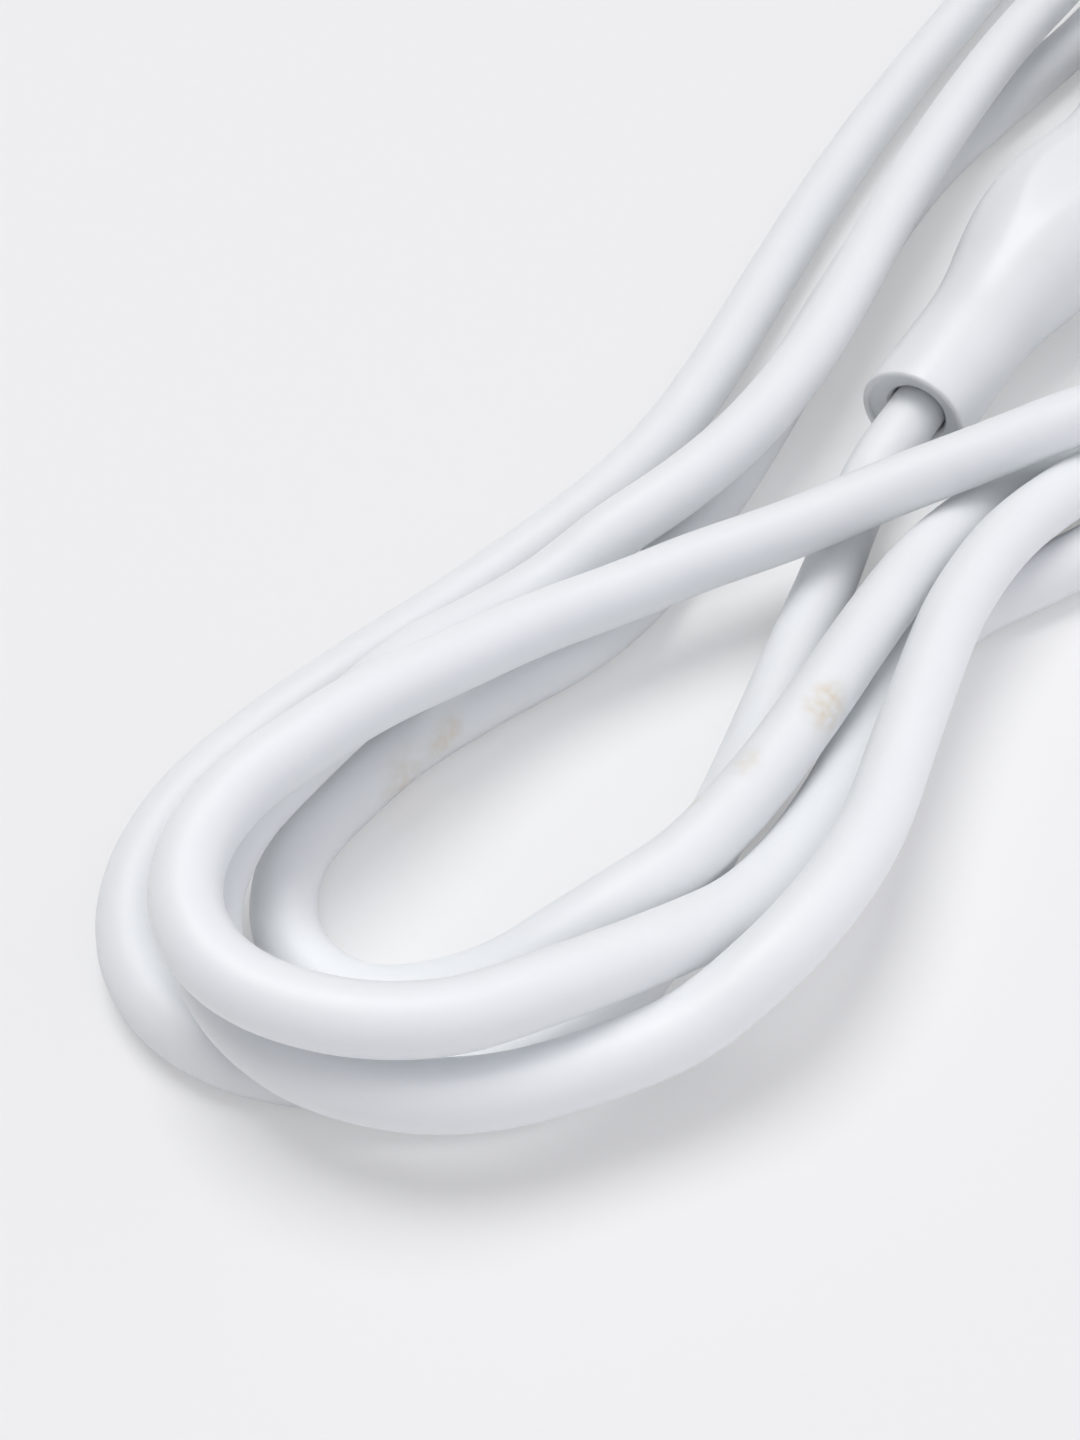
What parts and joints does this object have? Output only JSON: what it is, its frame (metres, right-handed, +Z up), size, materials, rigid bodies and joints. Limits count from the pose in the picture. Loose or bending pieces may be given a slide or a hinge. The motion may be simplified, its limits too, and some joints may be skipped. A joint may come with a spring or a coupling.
{
  "type": "extension cord",
  "caption": "White two-pole earthed extension cord, 2.5 m, in a loose tied hank: rewirable round-pin plug, shuttered socket, three-core cord",
  "frame": {"origin": "on the surface the cord lies on, under the middle of the socket's box", "axes": "+X along the socket's axis, out of its well; +Z up; +Y towards the hank and the plug"},
  "size_m": [0.3358, 0.1462, 0.048],
  "materials": {
    "white_shell": "smooth moulded, soft gloss",
    "cord_sheath": "soft matte PVC, lightly soiled",
    "insulator": "moulded, matte",
    "shutter_plastic": "moulded, matte",
    "tie_plastic": "soft PVC strap",
    "pin_metal": "nickel plated",
    "contact_metal": "stamped, clean",
    "plated_steel": "zinc plated",
    "spring_steel": "drawn wire",
    "line_insulation": "smooth brown PVC",
    "neutral_insulation": "smooth blue PVC",
    "earth_insulation": "green and yellow PVC"
  },
  "bodies": {
    "cord_body": {"socket_cup": "white_shell", "socket_cover": "white_shell", "contact_base": "insulator", "line_contact": "contact_metal", "neutral_contact": "contact_metal", "socket_earth_bar": "plated_steel", "socket_terminal_screws": "plated_steel", "socket_centre_screw": "plated_steel", "socket_centre_nut": "plated_steel", "socket_cord_clamp": "insulator", "socket_clamp_screws": "plated_steel", "socket_sheath_end": "cord_sheath", "socket_line_core": "line_insulation", "socket_neutral_core": "neutral_insulation", "socket_earth_core": "earth_insulation", "plug_front": "white_shell", "plug_cover": "white_shell", "line_pin": "pin_metal", "neutral_pin": "pin_metal", "plug_earth_strip": "pin_metal", "plug_terminal_screws": "plated_steel", "plug_centre_screw": "plated_steel", "plug_centre_nut": "plated_steel", "plug_cord_clamp": "insulator", "plug_clamp_screws": "plated_steel", "plug_sheath_end": "cord_sheath", "plug_line_core": "line_insulation", "plug_neutral_core": "neutral_insulation", "plug_earth_core": "earth_insulation", "cord_to_plug": "cord_sheath", "cord_hank": "cord_sheath", "cord_to_socket": "cord_sheath", "hank_tie": "tie_plastic"},
    "shutter_body": {"shutter": "shutter_plastic", "shutter_spring": "spring_steel"}
  },
  "joints": [
    {"name": "shutter_slide", "type": "slide", "parent": "cord_body", "child": "shutter_body", "axis": [0, 0, 1], "range_m": [0, 0.006], "stiffness_N_per_m": 60, "springref_m": -0.004, "deforming": ["shutter_spring"]}
  ]
}
